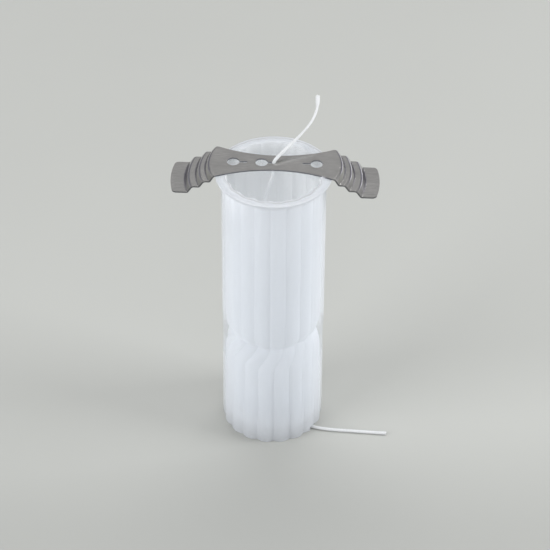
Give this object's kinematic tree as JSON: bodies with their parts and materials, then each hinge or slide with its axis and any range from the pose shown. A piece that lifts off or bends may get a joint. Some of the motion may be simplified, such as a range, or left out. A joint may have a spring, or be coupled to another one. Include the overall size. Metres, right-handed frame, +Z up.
{
  "type": "candle mould",
  "caption": "Tall fluted translucent candle mould with a flat rim, a stepped metal bar resting on it that centres the wick, and a braided wick that runs out under the base.",
  "frame": {"origin": "middle of the mould's foot, on the surface it stands on", "axes": "+Z up along the mould's axis, -Y the front, +X the right-hand side, along the wick bar"},
  "size_m": [0.1177, 0.0746, 0.1859],
  "materials": {
    "frosted_plastic": "frosted, translucent, slightly bluish white",
    "seal_rubber": "soft, matt, off-white",
    "stamped_steel": "rolled sheet, polished on the bends",
    "wick_cotton": "braided, lightly waxed"
  },
  "bodies": {
    "mould": {"mould_shell": "frosted_plastic", "wick_seal": "seal_rubber", "wick_core": "wick_cotton", "wick_tail": "wick_cotton"},
    "wick_end": {"wick_top": "wick_cotton"},
    "bar": {"wick_bar": "stamped_steel"}
  },
  "joints": [
    {"name": "bar_lift", "type": "slide", "parent": "mould", "child": "wick_end", "axis": [0, 0, 1], "range_m": [0, 0.02]},
    {"name": "bar_turn", "type": "hinge", "parent": "wick_end", "child": "bar", "pos_m": [-0.00005, 0.00643, 0.168], "axis": [0, 0, 1], "range_deg": [-8, 1]}
  ]
}
